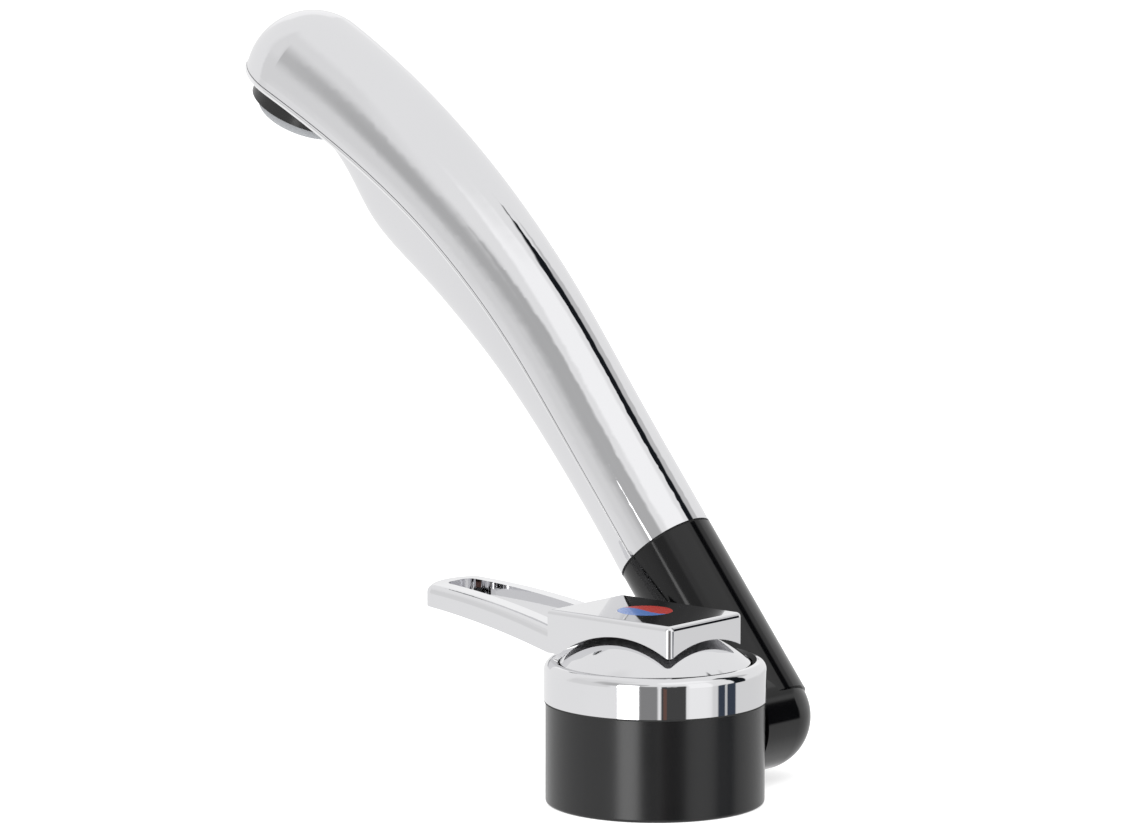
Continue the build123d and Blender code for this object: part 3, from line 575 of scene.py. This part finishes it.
@dataclass
class BaseAssembly(SubAssembly):
    """Base body, trim ring, cap and the valve inside; sizes are in metres.

    Attributes:
        shadow_ring_radius: A radius just outside the base body's wall.
        shadow_ring_proud: How far the thin black ring of painted shadow stands out beyond it.
        shadow_ring_low: Height of the black ring's lower edge.
        shadow_ring_high: Height of its upper edge.
        shadow_ring_inner: Its inner radius as a share of the outer one.
        shadow_ring_sides: How many sides its circle has.
    """

    dress_list: dict[str, Finish] = field(
        default_factory=lambda: {
            "base_body": SATIN_BLACK,
            "base_seal": RUBBER,
            "trim_ring": CHROME,
            "dome_cap": CHROME,
            "valve_body": BRASS,
            "retaining_nut": BRASS,
            "cartridge_housing": PALE_PLASTIC,
            "cartridge_base": PALE_PLASTIC,
            "cartridge_seals": RUBBER,
            "fixed_ceramic_disc": CERAMIC,
            "moving_ceramic_disc": CERAMIC,
            "disc_carrier": PALE_PLASTIC,
            "cartridge_rotor": PALE_PLASTIC,
            "pivot_pin": STEEL,
            "hinge_bush": DARK_PLASTIC,
            "hinge_washer": DARK_PLASTIC,
            "hinge_lock_screw": STEEL,
        }
    )

    # The thin black ring under the trim ring is painted shadow: it darkens the gap between trim
    # ring and base body.
    shadow_ring_radius: float = 0.02806
    shadow_ring_proud: float = 0.00026
    shadow_ring_low: float = 0.02616
    shadow_ring_high: float = 0.02662
    shadow_ring_inner: float = 0.988
    shadow_ring_sides: int = 160

    def add_shadow_ring(self) -> None:
        """Lay a thin black ring between the trim ring and the base body: painted shadow for the
        dark gap under the trim ring.
        """
        release()
        bpy.ops.mesh.primitive_cylinder_add(
            vertices=self.shadow_ring_sides,
            radius=self.shadow_ring_radius + self.shadow_ring_proud,
            depth=self.shadow_ring_high - self.shadow_ring_low,
            end_fill_type="NOTHING",
            location=(0, 0, (self.shadow_ring_high + self.shadow_ring_low) / 2),
        )
        shadow_ring = bpy.context.object
        shadow_ring.name = "trim_shadow_ring"
        bpy.ops.object.mode_set(mode="EDIT")
        bpy.ops.mesh.select_all(action="SELECT")
        bpy.ops.mesh.extrude_region()
        bpy.ops.transform.resize(value=(self.shadow_ring_inner, self.shadow_ring_inner, 1.0))
        bpy.ops.mesh.select_all(action="SELECT")
        bpy.ops.mesh.normals_make_consistent(inside=False)
        bpy.ops.object.mode_set(mode="OBJECT")
        self.finish_piece(shadow_ring, RUBBER, "seal_rubber")


@dataclass
class LeverAssembly(SubAssembly):
    """Lever, its stem and screw, and the two markers."""

    body: str = "lever"
    dress_list: dict[str, Finish] = field(
        default_factory=lambda: {
            "lever": LEVER_CHROME,
            "lever_stem": STEEL,
            "lever_screw": STEEL,
            "marker_hot": MARKER_RED,
            "marker_cold": MARKER_BLUE,
        }
    )


@dataclass(frozen=True)
class RimRoll:
    """A thin round line that follows the lower edge of the upper shell; sizes are in metres.

    Attributes:
        name: Name of the piece.
        finish: Its finish.
        thick: Radius of the line at the head.
        thin: Radius at the joint with the arm.
        proud: How far the line stands out of the wall.
        lift: How far above the edge it runs at the head, 0 to lie on the edge itself.
        front: Where it ends towards the head's tip, along y.
    """

    name: str
    finish: Finish
    thick: float
    thin: float
    proud: float
    lift: float = 0.0
    front: float = -1.0


@dataclass
class SpoutAssembly(SubAssembly):
    """Arm elbow, the two chrome shells and what is inside them; sizes are in metres.

    Attributes:
        bead: The rolled edge of the upper shell, in lighter chrome as a painted highlight.
        shadow_line: The thin dark line above it, a painted shadow.
        head_y: Middle of the round head along y.
        joint_y: Where the shells start, next to the arm, along y.
        shell_box: Lower and upper corner of the upper shell's box.
    """

    body: str = "spout"
    dress_list: dict[str, Finish] = field(
        default_factory=lambda: {
            "arm_elbow": GLOSS_BLACK,
            "hinge_spigot": BRASS,
            "spigot_o_rings": RUBBER,
            "joint_gasket": RUBBER,
            "spout_plug": DARK_PLASTIC,
            "spout_upper_shell": CHROME,
            "spout_lower_shell": CHROME,
            "water_tube": DARK_PLASTIC,
        }
    )

    # The bead's lighter chrome is a painted highlight along the rolled edge.
    bead: RimRoll = RimRoll(
        "spout_lip_bead", BEAD_HIGHLIGHT_CHROME, thick=0.00075, thin=0.00026, proud=0.00020
    )
    # The thin dark line above the rolled edge is a painted shadow.
    shadow_line: RimRoll = RimRoll(
        "spout_lip_shadow_line",
        SHADOW_LINE_CHROME,
        thick=0.00024,
        thin=0.00008,
        proud=0.00006,
        lift=0.00090,
        front=-0.1685,
    )
    head_y: float = -0.15567
    joint_y: float = -0.0325
    shell_box: tuple[Vector, Vector] = field(default_factory=lambda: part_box("spout_upper_shell"))

    def _outward(self, place: Vector) -> Vector:
        """Give the level direction from the middle of the spout to a place on its wall.

        Args:
            place: The place.

        Returns:
            A unit vector.
        """
        low, high = self.shell_box
        middle = Vector(((low.x + high.x) / 2, max(place.y, self.head_y), place.z))
        return (place - middle).normalized()

    def _proud(self, place: Vector, wanted: float) -> float:
        """Limit how far a line stands out of the wall at a place, to stay in the tap's box."""
        low = self.shell_box[0]
        return min(wanted, ROOM_SHARE * (place.x - low.x), ROOM_SHARE * (place.y - low.y))

    def _lay(self, spline: bpy.types.Spline, roll: RimRoll, shell: bpy.types.Object) -> None:
        """Give a rim spline the roll's thickness and set it into the wall.

        Args:
            spline: The rim, as points on the shell's edge.
            roll: The roll.
            shell: The shell that carries it.
        """
        rim = [point.co.xyz for point in spline.points]
        last = len(rim) - 1
        for index, point in enumerate(spline.points):
            place = rim[index]
            outward = self._outward(place)
            along = rim[min(index + 1, last)] - rim[max(index - 1, 0)]
            upward = along.cross(outward).normalized()
            if upward.z < 0:
                upward.negate()
            run = (self.joint_y - place.y) / (self.joint_y - self.head_y)
            share = min(max(run, 0.0), 1.0)
            radius = roll.thin + (roll.thick - roll.thin) * share
            point.radius = radius / roll.thick
            lifted = place + upward * roll.lift * radius / roll.thick
            if roll.lift:
                _, lifted, outward, _ = shell.closest_point_on_mesh(lifted)
            inset = radius - self._proud(lifted, roll.proud)
            point.co = (*(lifted - outward * inset), 1.0)

    def _keep_outer_rim(self, mesh: bpy.types.Mesh, front: float) -> None:
        """Keep only the sharp edges that the outer wall and the rim share selected.

        Args:
            mesh: The shell's merged mesh with its sharp edges selected.
            front: How far towards the head's tip the line runs, along y.
        """
        walls: dict[tuple[int, int], list[bpy.types.MeshPolygon]] = {}
        for face in mesh.polygons:
            for key in face.edge_keys:
                walls.setdefault(key, []).append(face)
        for edge in mesh.edges:
            if not edge.select:
                continue
            first, second = (mesh.vertices[index].co for index in edge.vertices)
            middle = (first + second) / 2
            outward = self._outward(middle)
            faces = walls[tuple(sorted(edge.vertices))]
            on_wall = any(face.normal.dot(outward) > FACING_OUT for face in faces)
            edge.select = front < middle.y < self.joint_y and on_wall

    def add_rim_roll(self, roll: RimRoll) -> None:
        """Lay one thin line along the lower edge of the upper shell.

        Args:
            roll: The line's name, finish and sizes.
        """
        release()
        shell = self.frame["nodes"]["spout_upper_shell"]
        line = bpy.data.objects.new(roll.name, shell.data.copy())
        bpy.context.scene.collection.objects.link(line)
        line.select_set(True)
        bpy.context.view_layer.objects.active = line
        bpy.ops.object.mode_set(mode="EDIT")
        bpy.ops.mesh.select_mode(type="EDGE")
        bpy.ops.mesh.select_all(action="SELECT")
        bpy.ops.mesh.remove_doubles(threshold=MERGE_REACH)
        bpy.ops.mesh.select_all(action="DESELECT")
        bpy.ops.mesh.edges_select_sharp(sharpness=SHARP_ANGLE)
        bpy.ops.object.mode_set(mode="OBJECT")
        self._keep_outer_rim(line.data, roll.front)
        bpy.ops.object.mode_set(mode="EDIT")
        bpy.ops.mesh.select_all(action="INVERT")
        bpy.ops.mesh.delete(type="EDGE")
        bpy.ops.object.mode_set(mode="OBJECT")
        bpy.ops.object.convert(target="CURVE")
        curve = bpy.context.object
        for spline in curve.data.splines:
            self._lay(spline, roll, shell)
        curve.data.bevel_depth = roll.thick
        curve.data.bevel_resolution = LINE_ROUNDNESS
        curve.data.use_fill_caps = True
        bpy.ops.object.convert(target="MESH")
        self.finish_piece(bpy.context.object, roll.finish, "chrome")


@dataclass
class OutletAssembly(SubAssembly):
    """Nozzle holder and aerator."""

    body: str = "spout"
    dress_list: dict[str, Finish] = field(
        default_factory=lambda: {
            "nozzle_holder": DARK_PLASTIC,
            "aerator_housing": OUTLET_BLACK,
            "aerator_ring": OUTLET_GREY,
            "aerator_insert": DARK_PLASTIC,
            "aerator_seal": RUBBER,
        }
    )


@dataclass(frozen=True)
class Glow:
    """A soft bright or dark patch of the surroundings, as the metal sees it; angles in degrees.

    Attributes:
        azimuth: Direction of its middle around the tap, from +X towards +Y.
        elevation: Height of its middle over the horizon.
        half_width: Half of its width.
        half_height: Half of its height.
        soft: Width of its soft edges.
        level: Its brightness.
        tint: Its colour.
        fade: Height of the soft edges above and below, where they differ from the sides.
    """

    azimuth: float
    elevation: float
    half_width: float
    half_height: float
    soft: float
    level: float
    tint: Colour = (1.0, 1.0, 1.0)
    fade: float = 0.0


@dataclass(frozen=True)
class Lamp:
    """One soft lamp that looks at the tap; sizes are in metres.

    Attributes:
        name: The lamp's name.
        place: Where it hangs.
        size: Its side, or its width where it isn't square.
        power: Its power in watts.
        tall: Its height where it isn't square; such a lamp stands upright.
        glossy: Whether the metal mirrors it.
    """

    name: str
    place: Place
    size: float
    power: float
    tall: float = 0.0
    glossy: bool = False


@dataclass
class Studio:
    """Camera, floor, surroundings and lamps; sizes are in metres and angles in degrees.

    Attributes:
        camera_place: Where the camera stands.
        heading: Direction from which it looks, from +X towards +Y.
        pitch: How far it looks down.
        lens: Focal length, in millimetres.
        sensor: Width of the sensor, in millimetres.
        far_clip: How far it sees.
        floor_radius: Radius of the floor.
        floor_sides: How many sides the floor has.
        floor_colour: Grey of the floor.
        floor_glow: Light that the floor adds, so that it shows as white.
        ambient: Even light on everything that doesn't mirror.
        surround: Brightness of the mirrored surroundings between the glows.
        lamp_aim: The place that the lamps look at.
        lamps: The lamps.
        glows: The mirrored patches; a later one lies over the earlier ones.
    """

    camera_place: Place = (1.47980, 1.23533, 0.40032)
    heading: float = 40.5
    pitch: float = 8.9
    lens: float = 243.16
    sensor: float = 36.0
    far_clip: float = 50.0
    floor_radius: float = 3.0
    floor_sides: int = 96
    floor_colour: float = 0.9
    floor_glow: float = 0.62
    ambient: float = 0.75
    surround: float = 0.93
    lamp_aim: Place = (-0.02, -0.05, 0.06)
    lamps: tuple[Lamp, ...] = (
        Lamp("top_lamp", (0.3, 0.2, 1.4), size=1.2, power=9.0),
        Lamp("front_box", (0.92, 0.195, -0.018), size=0.37, power=3.2, tall=1.02, glossy=True),
    )
    glows: tuple[Glow, ...] = (
        # The ground behind the tap, and the bright ceiling to the right.
        Glow(-100, -62, 70, 22, 14, 0.80),
        Glow(-85, -24, 45, 10, 12, 0.92),
        Glow(82, 54, 29, 5, 13, 1.12),
        # The dimmer wall to the left, and the soft stripes high on it.
        Glow(-34, 20, 22, 18, 7, 0.80, fade=14),
        Glow(-28, 50, 26, 14, 20, 0.85, fade=14),
        Glow(-16, 34, 9, 3, 10, 0.58, fade=20),
        Glow(4, 26, 15, 2, 13, 0.50, fade=20),
        Glow(22, 35, 8, 2.5, 5, 0.50, fade=5),
        # The ground and the bright wall to the right.
        Glow(150, -16, 45, 8, 12, 0.78),
        Glow(88, 14, 11, 20, 4, 1.12, fade=9),
        # The tall dark screen to the right, with a grey one at its edge.
        Glow(143, 43, 9, 11, 2, 0.012, (0.8, 0.95, 1.2), 3),
        Glow(137, 16, 8, 20, 2, 0.012, (0.8, 0.95, 1.2), 3),
        Glow(157, 36, 5, 8, 4, 0.6),
        # The low dark screen to the right, with a lighter slit.
        Glow(120, -11, 10.5, 7, 2.5, 0.06, (0.75, 0.95, 1.35), 3),
        Glow(118.5, -11, 1.2, 9, 0.8, 0.6),
        # The dark surroundings of the camera, and the wall behind the tap.
        Glow(33, -2, 8, 14, 3, 0.26, fade=14),
        Glow(59, -3, 12, 13, 2, 0.065, fade=14),
        Glow(50, -9, 1.4, 10, 0.8, 0.10, (1.5, 0.85, 0.7)),
        Glow(-135, 26, 14, 9, 8, 1.05),
    )

    def place_camera(self) -> None:
        """Put the camera where the picture was taken from."""
        bpy.ops.object.camera_add(location=self.camera_place)
        camera = bpy.context.object
        camera.name = "studio_camera"
        down = math.radians(90 - self.pitch)
        camera.rotation_euler = (down, 0, math.radians(90 + self.heading))
        camera.data.sensor_width = self.sensor
        camera.data.lens = self.lens
        camera.data.clip_end = self.far_clip
        bpy.context.scene.camera = camera

    def lay_floor(self) -> None:
        """Lay a pale floor that keeps the tap's shadow and shows as white."""
        release()
        bpy.ops.mesh.primitive_circle_add(
            vertices=self.floor_sides, radius=self.floor_radius, fill_type="NGON"
        )
        floor = bpy.context.object
        floor.name = "studio_floor"
        material = bpy.data.materials.new("pale_floor")
        graph = ShaderGraph(material)
        path = graph.node("ShaderNodeLightPath")
        grey = (*(self.floor_colour,) * 3, 1.0)
        diffuse = graph.node("ShaderNodeBsdfDiffuse", None, {"Color": grey})
        clear = graph.node("ShaderNodeBsdfTransparent")
        glow = {"Color": (1, 1, 1, 1), "Strength": self.floor_glow}
        lit = graph.node("ShaderNodeEmission", None, glow)
        seen = graph.node("ShaderNodeAddShader", None, {0: diffuse.outputs[0], 1: lit.outputs[0]})
        mirrored = graph.signal(path, "Is Glossy Ray").maximum(
            graph.signal(path, "Is Transmission Ray")
        )
        either = mirrored.maximum(graph.signal(path, "Is Shadow Ray"))
        shaders = {0: either, 1: seen.outputs[0], 2: clear.outputs[0]}
        surface = graph.node("ShaderNodeMixShader", None, shaders)
        graph.node("ShaderNodeOutputMaterial", None, {"Surface": surface.outputs[0]})
        floor.data.materials.append(material)

    def surround_with_light(self) -> None:
        """Make the world white behind the tap and a soft studio in its reflections."""
        world = bpy.data.worlds.new("studio_world")
        bpy.context.scene.world = world
        graph = ShaderGraph(world)
        place = graph.node("ShaderNodeTexCoord").outputs["Generated"]
        parts = graph.node("ShaderNodeSeparateXYZ", None, {0: place})
        x, y, z = (graph.signal(parts, axis) for axis in range(3))
        rise = z.arcsine()
        colour: Colour | bpy.types.NodeSocket = (self.surround,) * 3
        for glow in self.glows:
            turn = math.radians(glow.azimuth)
            across = y * math.cos(turn) - x * math.sin(turn)
            along = x * math.cos(turn) + y * math.sin(turn)
            soft = math.radians(glow.soft)
            fade = math.radians(glow.fade) if glow.fade else soft
            half_width, half_height = math.radians(glow.half_width), math.radians(glow.half_height)
            wide = graph.window(across.turn_from(along), 0.0, half_width, soft)
            tall = graph.window(rise, math.radians(glow.elevation), half_height, fade)
            shown = tuple(glow.level * share for share in glow.tint)
            colour = graph.mix(wide * tall, colour, shown)
        path = graph.node("ShaderNodeLightPath")
        seen = graph.signal(path, "Is Camera Ray")
        mirrored = graph.signal(path, "Is Glossy Ray").maximum(
            graph.signal(path, "Is Transmission Ray")
        )
        plain = graph.mix(seen, (self.ambient,) * 3, (1.0, 1.0, 1.0))
        light = {"Color": graph.mix(mirrored, plain, colour), "Strength": 1.0}
        background = graph.node("ShaderNodeBackground", None, light)
        graph.node("ShaderNodeOutputWorld", None, {"Surface": background.outputs[0]})

    def hang_lamp(self, lamp: Lamp) -> None:
        """Hang one soft lamp that looks at the tap.

        Args:
            lamp: The lamp.
        """
        bpy.ops.object.light_add(type="AREA", location=lamp.place)
        hung = bpy.context.object
        hung.name = lamp.name
        hung.data.size = lamp.size
        hung.data.energy = lamp.power
        aim = Vector(self.lamp_aim) - Vector(lamp.place)
        if lamp.tall:
            hung.data.shape = "RECTANGLE"
            hung.data.size_y = lamp.tall
            aim.z = 0.0
        hung.rotation_euler = aim.to_track_quat("-Z", "Y").to_euler()
        hung.visible_glossy = lamp.glossy
        hung.visible_camera = False

    def build(self) -> None:
        """Set up the whole studio."""
        self.place_camera()
        self.lay_floor()
        self.surround_with_light()
        for lamp in self.lamps:
            self.hang_lamp(lamp)
        bpy.context.scene.view_settings.view_transform = "Standard"
        log.info("studio is set")


def main() -> None:
    """Load the frame, dress every piece and set up the studio."""
    logging.basicConfig(level=logging.INFO, format="%(message)s")
    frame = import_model()
    finishes: dict[str, bpy.types.Material] = {}
    base, spout = BaseAssembly(frame, finishes), SpoutAssembly(frame, finishes)
    for assembly in (base, LeverAssembly(frame, finishes), spout, OutletAssembly(frame, finishes)):
        assembly.dress()
    base.add_shadow_ring()
    for roll in (spout.bead, spout.shadow_line):
        spout.add_rim_roll(roll)
    Studio().build()


if __name__ == "__main__":
    main()
